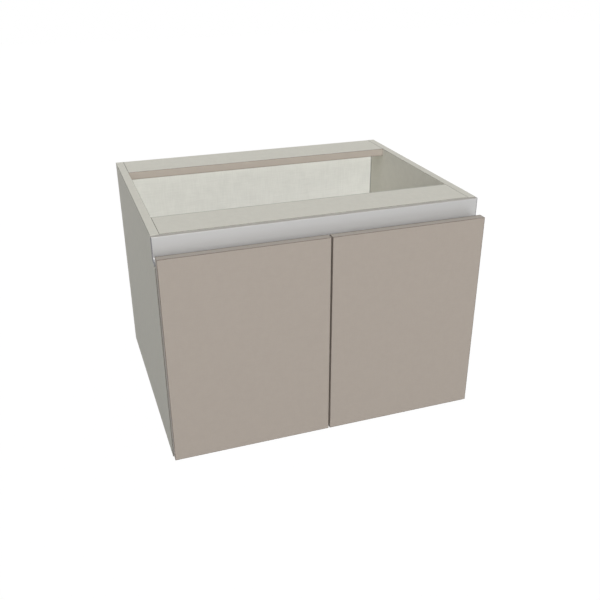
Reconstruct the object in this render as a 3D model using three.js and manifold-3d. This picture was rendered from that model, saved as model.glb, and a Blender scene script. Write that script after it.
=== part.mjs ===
// Sink base cabinet, handleless, two doors. Millimetres, +Z up, front faces -Y.
// Origin: centre of the footprint (doors included) on the plane the cabinet stands on.
import * as THREE from 'three';
import { mergeVertices } from 'three/addons/utils/BufferGeometryUtils.js';
import Module from 'manifold-3d';

const wasm = await Module();
wasm.setup();

// ---------------------------------------------------------------- driving dimensions
// Carcass
const CABINET_WIDTH = 700;
const CABINET_HEIGHT = 495;
const CARCASS_DEPTH = 560; // side panels, front edge to rear edge
const BOARD = 18; // melamine-faced carcass board
const RAIL_DEPTH = 100; // flat rails at the top, front and rear
const EDGING = 1; // plastic edging on visible board edges
const BACK_THICKNESS = 8;
const BACK_SETBACK = 22; // rear edge of the sides to the back panel
const GROOVE_DEPTH = 8; // groove that holds the back panel
const GROOVE_PLAY = 0.3;

// Doors
const DOOR_THICKNESS = 19;
const DOOR_STANDOFF = 1.5; // air between the carcass front and the doors
const DOOR_REVEAL = 1.5; // cabinet side to door edge
const DOOR_CENTRE_GAP = 3;
const DOOR_BOTTOM_RISE = 4; // carcass underside to door bottom
const FINGER_OPENING = 32; // cabinet top to door top

// Recess for the grip channel, cut in the top front corner of both sides
const NOTCH_DEPTH = 28;
const NOTCH_HEIGHT = 57;
const NOTCH_RADIUS = 10;

// Grip channel, an aluminium extrusion
const CHANNEL_WALL = 1.6;
const CHANNEL_FACE_DEPTH = 10; // back of the recess to the visible face
const CHANNEL_TOP_DROP = 1.5; // cabinet top to channel top
const CHANNEL_HEIGHT = 52.5;
const CHANNEL_SWEEP_RADIUS = 14; // where the face turns forward
const CHANNEL_LIP_RADIUS = 3.4;
const CHANNEL_LIP_RISE = 10; // channel underside to the top of its lip
const CHANNEL_LEG = 6; // legs that rest on the carcass
const CHANNEL_RIB_DROP = 26; // channel top to the middle rib
const END_CAP = 1.5;
const END_CAP_PEG = 6;

// Fixing dowels glued into the rail ends and the bottom panel
const DOWEL_RADIUS = 4;
const DOWEL_REACH = 12;
const DOWEL_INSET = 25; // rail edge to dowel

// Steel brackets that hold the channel to the sides, and their screws
const BRACKET_SHEET = 2;
const BRACKET_LENGTH = 40;
const BRACKET_FLANGE = 22;
const BRACKET_SCREW = { shank: 1.75, head: 3.5, headHeight: 1.4, reach: 12 };
const BRACKET_SCREW_PITCH = 18;

const PAN_HEAD_CROWN = 0.75; // top of a screw head against its seat

// Door buffers
const BUFFER_RADIUS = 4;
const BUFFER_TOP = 0.7; // top of a buffer against its foot
const BUFFER_INSET = 16; // door edge to buffer centre

// Fits
const SEAT = 0.3; // between pieces that rest on each other in a machined seat
const PIN_PLAY = 0.1;
const OVERCUT = 1; // cutting tools start this far outside a face

// Flats round a curve: shafts and bores of one fit share a count
const FLATS = { pin: 10, screw: 8, head: 12, dowel: 10, wing: 16, cup: 28 };

// ---------------------------------------------------------------- places worked out from them
const TOTAL_DEPTH = CARCASS_DEPTH + DOOR_STANDOFF + DOOR_THICKNESS;
const Y_REAR = TOTAL_DEPTH / 2;
const Y_FRONT = Y_REAR - CARCASS_DEPTH;
const Y_RECESS = Y_FRONT + NOTCH_DEPTH;
const Y_DOOR_BACK = Y_FRONT - DOOR_STANDOFF;
const Y_DOOR_FRONT = Y_DOOR_BACK - DOOR_THICKNESS;
const Y_BACK_REAR = Y_REAR - BACK_SETBACK;
const Y_BACK_FRONT = Y_BACK_REAR - BACK_THICKNESS;
const X_OUT = CABINET_WIDTH / 2;
const X_IN = X_OUT - BOARD;
const Z_TOP = CABINET_HEIGHT;
const Z_RAIL = Z_TOP - BOARD;
const Z_DOOR_BOTTOM = DOOR_BOTTOM_RISE;
const Z_DOOR_TOP = Z_TOP - FINGER_OPENING;
const X_DOOR_OUT = X_OUT - DOOR_REVEAL;
const X_DOOR_IN = DOOR_CENTRE_GAP / 2;
const SIDES = { left: -1, right: 1 };

// ---------------------------------------------------------------- colours
const finish = (color, roughness, metalness = 0) =>
  new THREE.MeshStandardMaterial({ color, roughness, metalness });
const CARCASS = finish(0xc2c1b8, 0.55);
const BACK = finish(0xcbcbc2, 0.6);
const CARCASS_EDGE = finish(0xb6b5ab, 0.5);
const FRONT = finish(0xaca398, 0.45);
const ALUMINIUM = finish(0xc0bfbd, 0.38, 0.9);
const CAP_PLASTIC = finish(0x87868a, 0.6);
const NICKEL = finish(0xb9bcc0, 0.28, 1);
const STEEL = finish(0x9a9da2, 0.35, 1);
const CLEAR_RUBBER = finish(0xdedfdc, 0.3);

// ---------------------------------------------------------------- shape tools
const cabinet = new THREE.Group();

// A box between exact planes, so that neighbours share the same face.
function block(x0, x1, y0, y1, z0, z1) {
  const geometry = new THREE.BoxGeometry(2, 2, 2);
  const p = geometry.attributes.position;
  for (let i = 0; i < p.count; i++) {
    p.setXYZ(i, p.getX(i) < 0 ? x0 : x1, p.getY(i) < 0 ? y0 : y1, p.getZ(i) < 0 ? z0 : z1);
  }
  return geometry;
}

// A flat outline pushed along one axis. Outlines are drawn in (y, z) for x, (x, z) for y and (x, y) for z.
function prism(outline, axis, from, to, holes = [], curveSegments = 12) {
  const shape = outline instanceof THREE.Shape ? outline : new THREE.Shape(outline);
  shape.holes.push(...holes);
  const geometry = new THREE.ExtrudeGeometry(shape, { depth: 1, bevelEnabled: false, curveSegments });
  const p = geometry.attributes.position;
  for (let i = 0; i < p.count; i++) {
    const a = p.getX(i);
    const b = p.getY(i);
    const c = p.getZ(i) < 0.5 ? from : to;
    if (axis === 'x') p.setXYZ(i, c, a, b);
    if (axis === 'y') p.setXYZ(i, a, c, b);
    if (axis === 'z') p.setXYZ(i, a, b, c);
  }
  return axis === 'y' ? flip(geometry) : geometry;
}

// Turns every face over, for a shape that was mirrored.
function flip(geometry) {
  const flat = geometry.index ? geometry.toNonIndexed() : geometry;
  const p = flat.attributes.position;
  const one = new THREE.Vector3();
  const two = new THREE.Vector3();
  for (let i = 0; i < p.count; i += 3) {
    one.fromBufferAttribute(p, i);
    two.fromBufferAttribute(p, i + 1);
    p.setXYZ(i, two.x, two.y, two.z);
    p.setXYZ(i + 1, one.x, one.y, one.z);
  }
  return flat;
}

// A round bar or bore along an axis through a point.
function rod(axis, centre, from, to, radius, segments = 20, endRadius = radius) {
  const geometry = new THREE.CylinderGeometry(endRadius, radius, to - from, segments);
  geometry.translate(0, (from + to) / 2, 0);
  const [a, b] = centre;
  if (axis === 'x') geometry.rotateZ(-Math.PI / 2).translate(0, a, b);
  if (axis === 'y') geometry.translate(a, 0, b);
  if (axis === 'z') geometry.rotateX(Math.PI / 2).translate(a, b, 0);
  return geometry;
}

function solid(geometry) {
  const plain = geometry.clone();
  plain.deleteAttribute('normal');
  plain.deleteAttribute('uv');
  const merged = mergeVertices(plain, 1e-4);
  return new wasm.Manifold(new wasm.Mesh({
    numProp: 3,
    vertProperties: Float32Array.from(merged.attributes.position.array),
    triVerts: Uint32Array.from(merged.index.array),
  }));
}

function surface(manifold) {
  const mesh = manifold.getMesh();
  const geometry = new THREE.BufferGeometry();
  geometry.setAttribute('position', new THREE.BufferAttribute(mesh.vertProperties, 3));
  geometry.setIndex(new THREE.BufferAttribute(mesh.triVerts, 1));
  return geometry;
}

const join = (...pieces) => surface(pieces.map(solid).reduce((a, b) => a.add(b)));
const cut = (body, ...tools) => surface(tools.map(solid).reduce((a, b) => a.subtract(b), solid(body)));
const mirrorX = (geometry) => flip(geometry.clone().scale(-1, 1, 1));

function place(name, geometry, material, parent = cabinet) {
  const mesh = new THREE.Mesh(geometry, material);
  mesh.name = name;
  parent.add(mesh);
  return mesh;
}

const arcPoints = (cx, cy, radius, from, to, steps) =>
  Array.from({ length: steps + 1 }, (_, i) => {
    const a = THREE.MathUtils.degToRad(from + ((to - from) * i) / steps);
    return new THREE.Vector2(cx + radius * Math.cos(a), cy + radius * Math.sin(a));
  });

// ---------------------------------------------------------------- hinge dimensions
// Plan view of a left-hand hinge: u runs inward from the door's hinge edge, v runs forward
// from the back of the door, w up or down from the middle of the hinge.
const HINGE_INSET = 95; // door end to hinge centre
const HINGE_PLATE_SETBACK = 37; // carcass front to the plate's screw line
const CUP_CENTRE = 22.9;
const CUP_RADIUS = 17.2;
const CUP_DEPTH = 11.7;
const CUP_WALL = 0.8;
const CUP_FLOOR = 1;
const CUP_FLANGE = 1;
const CUP_RIM = 1.5; // flange round the cup's mouth
const CUP_FLANGE_REACH = 29; // hinge centre to flange end
const CUP_SCREW_SPREAD = 24; // hinge centre to each cup screw
const CUP_SCREW_OFFSET = 6; // cup centre to the cup screws
const CUP_SCREW_RADIUS = 1.8;
const CUP_SCREW_REACH = 10;
const CUP_SCREW_HEAD = 0.8;
const PIVOT = {
  armOuter: new THREE.Vector2(36, 8),
  cupOuter: new THREE.Vector2(14.3, 5.8),
  armInner: new THREE.Vector2(36.1, 2.1),
  cupInner: new THREE.Vector2(13.7, 2.2),
};
const PIN_RADIUS = 1;
const LINK_EYE = 2; // radius round each pin
const LINK_WAIST = 1.5; // half width between the eyes
const OUTER_KNEE = { along: 12, forward: 1 };
const INNER_KNEE = { along: 16, forward: 2.2 };
const INNER_WEB = { far: 9.5, near: 5.5, behind: 1.3, sheet: 1 }; // from the arm's pin
const SLOT_TRAVEL = 1.4; // free play of the inner link's open pivot, each way
const SLOT_SIDE_PLAY = 0.5;
const SLOT_RIM = 0.9;
// Layers across the hinge, as distances from its middle
const OUTER_LINK_HALF = 2.1;
const CHEEK = { from: 2.4, to: 3.6 };
const INNER_LINK = { from: 3.9, to: 5.1 };
const PIN_HEAD = { from: 5.4, to: 6 };
const PIN_HEAD_RADIUS = 1.7;
const PIN_END = CHEEK.to - 0.5; // pins end inside the cheeks they are riveted in
const ARM_SHEET = 1.5;
const ARM_LENGTH = 58; // back of the door to the arm's rear end
const ARM_RISE = 11; // side panel to the arm's crown
const PLATE_BASE = 2;
const PLATE_SETBACK = 4; // arm's shoulder to the plate's front end
const PLATE_WING = 24;
const PLATE_WING_WIDTH = 12;
const PLATE_BODY_HALF = 7;
const PLATE_SCREW_SPREAD = 16;
const PLATE_SCREW = { shank: 2.5, head: 4, headHeight: 1.6, reach: 11 };
const ARM_SCREW = { radius: 3.4, height: 1.4, shank: 1.2, reach: 5 };
const PANEL_FACE_U = BOARD - DOOR_REVEAL; // side panel's inner face in the hinge plan
const HINGE_HEIGHTS = {
  lower: Z_DOOR_BOTTOM + HINGE_INSET,
  upper: Z_DOOR_TOP - HINGE_INSET,
};
const Y_PLATE_SCREWS = Y_FRONT + HINGE_PLATE_SETBACK;

// ---------------------------------------------------------------- carcass
const railDowelYs = (front, rear) => [front + DOWEL_INSET, rear - DOWEL_INSET];
const FRONT_RAIL = { front: Y_RECESS, rear: Y_RECESS + RAIL_DEPTH };
const REAR_RAIL = { front: Y_REAR - RAIL_DEPTH, rear: Y_REAR };
const DOWEL_ROWS = [
  { ys: railDowelYs(FRONT_RAIL.front, FRONT_RAIL.rear), z: Z_RAIL + BOARD / 2 },
  { ys: railDowelYs(REAR_RAIL.front, Y_BACK_FRONT), z: Z_RAIL + BOARD / 2 },
  {
    ys: [Y_FRONT + 2 * DOWEL_INSET, (Y_FRONT + Y_REAR) / 2, Y_BACK_FRONT - 2 * DOWEL_INSET],
    z: BOARD / 2,
  },
];
const GROOVE = {
  front: Y_BACK_FRONT - GROOVE_PLAY / 2,
  rear: Y_BACK_REAR + GROOVE_PLAY / 2,
  bottom: BOARD - GROOVE_DEPTH,
  top: Z_RAIL + GROOVE_DEPTH,
};

// Side panel: routed recess for the grip channel, stopped groove for the back, blind bores.
function sidePanel(sign) {
  const inner = sign * X_IN;
  const outer = sign * X_OUT;
  const recessFloor = Z_TOP - NOTCH_HEIGHT;
  const outline = [
    new THREE.Vector2(Y_REAR, 0),
    new THREE.Vector2(Y_REAR, Z_TOP),
    new THREE.Vector2(Y_RECESS, Z_TOP),
    ...arcPoints(Y_RECESS - NOTCH_RADIUS, recessFloor + NOTCH_RADIUS, NOTCH_RADIUS, 0, -90, 8),
    new THREE.Vector2(Y_FRONT + EDGING, recessFloor),
    new THREE.Vector2(Y_FRONT + EDGING, 0),
  ];
  const board = prism(outline, 'x', Math.min(inner, outer), Math.max(inner, outer));
  const span = (depth) => {
    const end = inner + sign * depth;
    return sign < 0 ? [end, inner + OVERCUT] : [inner - OVERCUT, end];
  };
  const [g0, g1] = span(GROOVE_DEPTH);
  const tools = [block(g0, g1, GROOVE.front, GROOVE.rear, GROOVE.bottom, GROOVE.top)];
  const [d0, d1] = span(DOWEL_REACH + SEAT);
  for (const row of DOWEL_ROWS) {
    for (const y of row.ys) tools.push(rod('x', [y, row.z], d0, d1, DOWEL_RADIUS + SEAT, FLATS.dowel));
  }
  const [s0, s1] = span(PLATE_SCREW.reach + SEAT);
  for (const z of Object.values(HINGE_HEIGHTS)) {
    for (const up of [-1, 1]) {
      const at = [Y_PLATE_SCREWS, z + up * PLATE_SCREW_SPREAD];
      tools.push(rod('x', at, s0, s1, PLATE_SCREW.shank + SEAT, FLATS.screw));
    }
  }
  const [b0, b1] = span(BRACKET_SCREW.reach + SEAT);
  for (const at of BRACKET_SCREWS) tools.push(rod('x', at, b0, b1, BRACKET_SCREW.shank + SEAT, FLATS.screw));
  return cut(board, ...tools);
}

// A board between the sides, with its glued dowels standing out of both ends.
function crossBoard(y0, y1, z0, z1, row) {
  const pieces = [block(-X_IN, X_IN, y0, y1, z0, z1)];
  for (const y of row.ys) {
    for (const sign of [-1, 1]) {
      const from = sign * (X_IN - OVERCUT);
      const to = sign * (X_IN + DOWEL_REACH);
      pieces.push(rod('x', [y, row.z], Math.min(from, to), Math.max(from, to), DOWEL_RADIUS, FLATS.dowel));
    }
  }
  return join(...pieces);
}

const backGroove = (z0, z1) => block(-X_IN - OVERCUT, X_IN + OVERCUT, GROOVE.front, GROOVE.rear, z0, z1);

// ---------------------------------------------------------------- channel section
// Section points: s runs forward from the back of the recess, h down from the cabinet top.
const section = (s, h) => new THREE.Vector2(Y_RECESS - s, Z_TOP - h);
const CHANNEL = {
  top: CHANNEL_TOP_DROP,
  under: CHANNEL_TOP_DROP + CHANNEL_HEIGHT,
  floor: CHANNEL_TOP_DROP + CHANNEL_HEIGHT - CHANNEL_WALL, // visible floor of the gutter
  wallBack: CHANNEL_FACE_DEPTH - CHANNEL_WALL,
  lipFront: NOTCH_DEPTH,
  lipBack: NOTCH_DEPTH - CHANNEL_WALL,
  lipTop: CHANNEL_TOP_DROP + CHANNEL_HEIGHT - CHANNEL_LIP_RISE,
  rib: CHANNEL_TOP_DROP + CHANNEL_RIB_DROP,
  end: X_OUT - END_CAP,
};
const SWEEP_CENTRE = { s: CHANNEL_FACE_DEPTH + CHANNEL_SWEEP_RADIUS, h: CHANNEL.floor - CHANNEL_SWEEP_RADIUS };
const LIP_CENTRE = {
  s: CHANNEL.lipFront - CHANNEL_LIP_RADIUS,
  h: CHANNEL.under - CHANNEL_LIP_RADIUS,
};
const LOWER_RIB = SWEEP_CENTRE.h + CHANNEL_WALL; // just above the sweep's start

// Arc in section terms: angle 0 points forward, 90 points down.
const sectionArc = (c, radius, from, to, steps) =>
  arcPoints(c.s, c.h, radius, from, to, steps).map((p) => section(p.x, p.y));

// The face you put your fingers against, from the top edge round to the top of the lip.
const visibleFace = () => [
  section(CHANNEL_FACE_DEPTH, CHANNEL.top),
  ...sectionArc(SWEEP_CENTRE, CHANNEL_SWEEP_RADIUS, 180, 90, 12),
  ...sectionArc(LIP_CENTRE, CHANNEL_LIP_RADIUS - CHANNEL_WALL, 90, 0, 4),
  section(CHANNEL.lipBack, CHANNEL.lipTop),
];
const lipOutside = () => [
  section(CHANNEL.lipFront, CHANNEL.lipTop),
  ...sectionArc(LIP_CENTRE, CHANNEL_LIP_RADIUS, 0, 90, 5),
];

const lengthwise = (outline) => prism(outline, 'x', -CHANNEL.end, CHANNEL.end);
const channelBar = (s0, s1, h0, h1) =>
  block(-CHANNEL.end, CHANNEL.end, Y_RECESS - s1, Y_RECESS - s0, Z_TOP - h1, Z_TOP - h0);

function gripChannel() {
  const skin = [
    ...visibleFace(),
    ...lipOutside(),
    ...sectionArc(SWEEP_CENTRE, CHANNEL_SWEEP_RADIUS + CHANNEL_WALL, 90, 180, 12),
    section(CHANNEL.wallBack, CHANNEL.top),
  ];
  const leg = SEAT + CHANNEL_WALL;
  const into = CHANNEL.wallBack + CHANNEL_WALL / 2;
  return join(
    lengthwise(skin),
    channelBar(SEAT, into, CHANNEL.top, CHANNEL.top + CHANNEL_WALL),
    channelBar(SEAT, leg, CHANNEL.top, CHANNEL.top + CHANNEL_LEG),
    channelBar(SEAT, into, CHANNEL.rib, CHANNEL.rib + CHANNEL_WALL),
    channelBar(SEAT, leg, CHANNEL.rib - CHANNEL_LEG / 2, CHANNEL.rib + CHANNEL_LEG / 2),
    channelBar(SEAT, into, LOWER_RIB, LOWER_RIB + CHANNEL_WALL),
    channelBar(SEAT, leg, LOWER_RIB, LOWER_RIB + CHANNEL_LEG),
  );
}

// Moulded cap: closes the channel's hollow back and carries a peg that plugs into it.
function endCap(sign) {
  const inner = sign * CHANNEL.end;
  const outer = sign * X_OUT;
  const heel = NOTCH_RADIUS - SEAT;
  const outline = [
    section(SEAT, CHANNEL.top),
    ...visibleFace(),
    ...lipOutside(),
    ...sectionArc({ s: SEAT + heel, h: CHANNEL.under - heel }, heel, 90, 180, 8),
  ];
  const pegEnd = inner - sign * END_CAP_PEG;
  const peg = block(
    Math.min(pegEnd, inner + sign * END_CAP / 2), Math.max(pegEnd, inner + sign * END_CAP / 2),
    Y_RECESS - CHANNEL.wallBack + SEAT, Y_RECESS - CHANNEL_WALL - 2 * SEAT,
    Z_TOP - CHANNEL.rib + CHANNEL_LEG / 2 + SEAT, Z_TOP - CHANNEL.top - CHANNEL_WALL - SEAT,
  );
  return join(prism(outline, 'x', Math.min(inner, outer), Math.max(inner, outer)), peg);
}

// Bracket: a plate on the side panel, a neck through the recess and a flange behind the channel face.
const BRACKET = {
  plateTop: Z_RAIL - SEAT,
  plateBottom: Z_TOP - CHANNEL.under,
  neckTop: Z_TOP - CHANNEL.rib - CHANNEL_LEG / 2 - SEAT,
  flangeTop: Z_TOP - CHANNEL.rib - CHANNEL_WALL - SEAT,
  flangeBottom: Z_TOP - LOWER_RIB + SEAT,
  flangeFront: Y_RECESS - CHANNEL.wallBack + SEAT,
};
const BRACKET_SCREWS = [0.5, 1.5].map((n) => [
  Y_RECESS + n * BRACKET_SCREW_PITCH + SEAT,
  (BRACKET.plateTop + BRACKET.plateBottom) / 2,
]);

function bracket(sign) {
  const strip = (x0, x1, y0, y1, z0, z1) => block(
    Math.min(sign * x0, sign * x1), Math.max(sign * x0, sign * x1), y0, y1, z0, z1,
  );
  const innerFace = X_IN - BRACKET_SHEET;
  const plate = strip(
    innerFace, X_IN, Y_RECESS + SEAT, Y_RECESS + BRACKET_LENGTH, BRACKET.plateBottom, BRACKET.plateTop,
  );
  const neck = strip(
    innerFace, X_IN, BRACKET.flangeFront, Y_RECESS + BRACKET_SHEET, BRACKET.flangeBottom, BRACKET.neckTop,
  );
  const flange = strip(
    X_IN - BRACKET_FLANGE, X_IN, BRACKET.flangeFront, BRACKET.flangeFront + BRACKET_SHEET,
    BRACKET.flangeBottom, BRACKET.flangeTop,
  );
  const ends = [sign * (innerFace - OVERCUT), sign * (X_IN + OVERCUT)];
  const holes = BRACKET_SCREWS.map((at) => rod(
    'x', at, Math.min(...ends), Math.max(...ends), BRACKET_SCREW.shank + SEAT, FLATS.screw,
  ));
  return cut(join(plate, neck, flange), ...holes);
}

// A screw driven outward into a side panel: pan head on the seat, shank in the board.
function panelScrew(sign, at, seatX, { shank, head, headHeight, reach }) {
  const top = seatX - headHeight;
  const tip = X_IN + reach;
  const crown = head * PAN_HEAD_CROWN;
  const neck = seatX - headHeight / 2;
  const cap = sign > 0
    ? rod('x', at, top, seatX, crown, FLATS.head, head)
    : rod('x', at, -seatX, -top, head, FLATS.head, crown);
  const [from, to] = sign > 0 ? [neck, tip] : [-tip, -neck];
  return join(cap, rod('x', at, from, to, shank, FLATS.screw));
}

// ---------------------------------------------------------------- doors
const hingeU = (u) => X_DOOR_OUT - u; // hinge plan to distance from the cabinet's middle

function doorCore(sign) {
  const x0 = sign < 0 ? -X_DOOR_OUT + EDGING : X_DOOR_IN + EDGING;
  const x1 = sign < 0 ? -X_DOOR_IN - EDGING : X_DOOR_OUT - EDGING;
  const core = block(x0, x1, Y_DOOR_FRONT, Y_DOOR_BACK, Z_DOOR_BOTTOM + EDGING, Z_DOOR_TOP - EDGING);
  const bores = [];
  for (const z of Object.values(HINGE_HEIGHTS)) {
    bores.push(rod(
      'y', [sign * hingeU(CUP_CENTRE), z], Y_DOOR_BACK - CUP_DEPTH - SEAT, Y_DOOR_BACK + OVERCUT,
      CUP_RADIUS + SEAT, FLATS.cup,
    ));
    for (const up of [-1, 1]) {
      bores.push(rod(
        'y', [sign * hingeU(CUP_CENTRE + CUP_SCREW_OFFSET), z + up * CUP_SCREW_SPREAD],
        Y_DOOR_BACK - CUP_SCREW_REACH - SEAT, Y_DOOR_BACK + OVERCUT, CUP_SCREW_RADIUS + SEAT, FLATS.screw,
      ));
    }
  }
  return cut(core, ...bores);
}

// Edging runs round all four edges of the door as one lipping.
function doorEdging(sign) {
  const x0 = sign < 0 ? -X_DOOR_OUT : X_DOOR_IN;
  const x1 = sign < 0 ? -X_DOOR_IN : X_DOOR_OUT;
  const rectangle = (Form, inset) => new Form([
    new THREE.Vector2(x0 + inset, Z_DOOR_BOTTOM + inset),
    new THREE.Vector2(x1 - inset, Z_DOOR_BOTTOM + inset),
    new THREE.Vector2(x1 - inset, Z_DOOR_TOP - inset),
    new THREE.Vector2(x0 + inset, Z_DOOR_TOP - inset),
  ]);
  return prism(rectangle(THREE.Shape, 0), 'y', Y_DOOR_FRONT, Y_DOOR_BACK, [rectangle(THREE.Path, EDGING)]);
}

// ---------------------------------------------------------------- hinge pieces, left hand
const plan = (u, v) => new THREE.Vector2(u, -v);
const pin = (at, from, to, radius = PIN_RADIUS) => rod('z', [at.x, -at.y], from, to, radius, FLATS.pin);
const pair = (range, build) => [build(range.from, range.to), build(-range.to, -range.from)];

function hingeCup() {
  const screwU = CUP_CENTRE + CUP_SCREW_OFFSET;
  const earHalf = CUP_FLANGE_REACH - CUP_SCREW_SPREAD;
  const shell = join(
    rod('y', [CUP_CENTRE, 0], -CUP_DEPTH, CUP_FLANGE, CUP_RADIUS, FLATS.cup),
    rod('y', [CUP_CENTRE, 0], 0, CUP_FLANGE, CUP_RADIUS + CUP_RIM, FLATS.cup),
    block(
      screwU - earHalf, screwU + earHalf, 0, CUP_FLANGE, -CUP_SCREW_SPREAD, CUP_SCREW_SPREAD,
    ),
    ...[-1, 1].map((up) => rod('y', [screwU, up * CUP_SCREW_SPREAD], 0, CUP_FLANGE, earHalf, FLATS.head)),
  );
  const hollow = rod(
    'y', [CUP_CENTRE, 0], CUP_FLOOR - CUP_DEPTH, CUP_FLANGE + OVERCUT, CUP_RADIUS - CUP_WALL, FLATS.cup,
  );
  const { cupOuter, cupInner } = PIVOT;
  const ear = [
    plan(cupInner.x - LINK_EYE, CUP_DEPTH - CUP_FLOOR / 2),
    ...arcPoints(cupInner.x, -cupInner.y, LINK_EYE, 180, 0, 5),
    plan(cupOuter.x + LINK_EYE, cupOuter.y),
    plan(cupOuter.x + LINK_EYE, CUP_DEPTH - CUP_FLOOR / 2),
  ];
  return join(
    cut(shell, hollow),
    ...pair(CHEEK, (from, to) => prism(ear, 'z', from, to)),
    pin(cupOuter, -PIN_END, PIN_END),
    ...pair({ from: PIN_END, to: PIN_HEAD.to }, (from, to) => pin(cupInner, from, to)),
    ...pair(PIN_HEAD, (from, to) => pin(cupInner, from, to, PIN_HEAD_RADIUS)),
    ...[-1, 1].flatMap((up) => {
      const at = [screwU, up * CUP_SCREW_SPREAD];
      const head = 2 * CUP_SCREW_RADIUS;
      return [
        rod('y', at, -CUP_SCREW_REACH, CUP_FLANGE, CUP_SCREW_RADIUS, FLATS.screw),
        rod('y', at, CUP_FLANGE / 2, CUP_FLANGE + CUP_SCREW_HEAD, head, FLATS.head, head * PAN_HEAD_CROWN),
      ];
    }),
  );
}

// Gooseneck arm: a folded channel that steps from the plate round into the cup.
const ARM_UNDER = PANEL_FACE_U + PLATE_BASE + SEAT;
const ARM_CROWN = PANEL_FACE_U + ARM_RISE;
const ARM_NOSE = LINK_EYE;
const ARM_SHOULDER = 14; // back of the door to where the arm turns towards the cup
const ARM_TIP = 2; // back of the door to the end of the arm's crown
const ARM_CHEEK_TIP = 1; // and of its cheeks, on the outer side
const ARM_CHEEK_STEP = 3; // crown to the cheeks' inner corner at the shoulder

const armScrewBore = () => rod(
  'x', [HINGE_PLATE_SETBACK + DOOR_STANDOFF, 0],
  ARM_CROWN - ARM_SCREW.reach - SEAT, ARM_CROWN + OVERCUT, ARM_SCREW.shank + SEAT, FLATS.screw,
);

function hingeArm() {
  const { armOuter, armInner } = PIVOT;
  const noseIn = armOuter.x + ARM_NOSE;
  const noseOut = armOuter.x - ARM_NOSE;
  const cheek = [
    plan(ARM_UNDER, -ARM_LENGTH),
    plan(ARM_CROWN, -ARM_LENGTH),
    plan(ARM_CROWN, -ARM_SHOULDER),
    plan(noseIn, -ARM_TIP),
    ...arcPoints(armOuter.x, -armOuter.y, ARM_NOSE, 0, -180, 5),
    plan(noseOut, -ARM_CHEEK_TIP),
    plan(ARM_CROWN - ARM_CHEEK_STEP, ARM_CHEEK_STEP - ARM_SHOULDER),
    plan(ARM_UNDER, ARM_CHEEK_STEP - ARM_CHEEK_TIP - ARM_SHOULDER),
  ];
  const crown = [
    plan(ARM_CROWN - ARM_SHEET, -ARM_LENGTH),
    plan(ARM_CROWN, -ARM_LENGTH),
    plan(ARM_CROWN, -ARM_SHOULDER),
    plan(noseIn, -ARM_TIP),
    plan(noseIn - ARM_SHEET, -ARM_TIP),
    plan(ARM_CROWN - ARM_SHEET, ARM_SHEET / 3 - ARM_SHOULDER),
  ];
  const arm = join(
    ...pair(CHEEK, (from, to) => prism(cheek, 'z', from, to)),
    prism(crown, 'z', -CHEEK.to, CHEEK.to),
    pin(armOuter, -PIN_END, PIN_END),
    ...pair({ from: PIN_END, to: PIN_HEAD.to }, (from, to) => pin(armInner, from, to)),
    ...pair(PIN_HEAD, (from, to) => pin(armInner, from, to, PIN_HEAD_RADIUS)),
  );
  return cut(arm, armScrewBore());
}

// The four corners of a flat bar between two points, in the hinge plan.
function barOutline(a, b, half) {
  const along = b.clone().sub(a).normalize();
  const across = new THREE.Vector2(-along.y, along.x).multiplyScalar(half);
  const corner = (p, k) => plan(p.x + k * across.x, p.y + k * across.y);
  return [corner(a, -1), corner(b, -1), corner(b, 1), corner(a, 1)];
}

// A flat link between two eyes, cranked forward on the way so that it clears the cup's rim.
function crankedLink(a, b, knee, from, to, eyeA, eyeB) {
  const along = b.clone().sub(a).normalize();
  const forward = new THREE.Vector2(along.y, -along.x);
  const bend = a.clone().addScaledVector(along, knee.along).addScaledVector(forward, knee.forward);
  return join(
    prism(barOutline(a, bend, LINK_WAIST), 'z', from, to),
    prism(barOutline(bend, b, LINK_WAIST), 'z', from, to),
    pin(bend, from, to, LINK_WAIST),
    pin(a, from, to, eyeA),
    pin(b, from, to, eyeB),
  );
}

function outerLink() {
  const { armOuter, cupOuter } = PIVOT;
  const half = OUTER_LINK_HALF;
  const body = crankedLink(armOuter, cupOuter, OUTER_KNEE, -half, half, LINK_EYE, LINK_EYE);
  const bore = (at) => pin(at, -half - OVERCUT, half + OVERCUT, PIN_RADIUS + PIN_PLAY);
  return cut(body, bore(armOuter), bore(cupOuter));
}

// The inner link straddles the arm. Its far eye is a slot, where the closed chain is left open.
const SLOT_TURN = 0.0192; // radians, aims the slot at the middle of the pin's path
const SLOT_REACH = 22.15;

function innerLink() {
  const { armInner, cupInner } = PIVOT;
  const turn = cupInner.clone().sub(armInner).normalize().rotateAround(new THREE.Vector2(), SLOT_TURN);
  const at = (distance) => armInner.clone().addScaledVector(turn, distance);
  const slotEnds = [at(SLOT_REACH - SLOT_TRAVEL), at(SLOT_REACH + SLOT_TRAVEL)];
  const slotRadius = PIN_RADIUS + SLOT_SIDE_PLAY;
  const endRadius = slotRadius + SLOT_RIM;
  const cheeks = pair(INNER_LINK, (from, to) => join(
    crankedLink(armInner, slotEnds[1], INNER_KNEE, from, to, LINK_EYE, endRadius),
    pin(slotEnds[0], from, to, endRadius),
  ));
  const { far, near, behind, sheet } = INNER_WEB;
  const webBack = behind - armInner.y;
  const web = block(at(far).x, at(near).x, webBack - sheet, webBack, -INNER_LINK.to, INNER_LINK.to);
  const reach = INNER_LINK.to + OVERCUT;
  return cut(
    join(...cheeks, web),
    pin(armInner, -reach, reach, PIN_RADIUS + PIN_PLAY),
    ...slotEnds.map((p) => pin(p, -reach, reach, slotRadius)),
    prism(barOutline(slotEnds[0], slotEnds[1], slotRadius), 'z', -reach, reach),
  );
}

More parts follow.
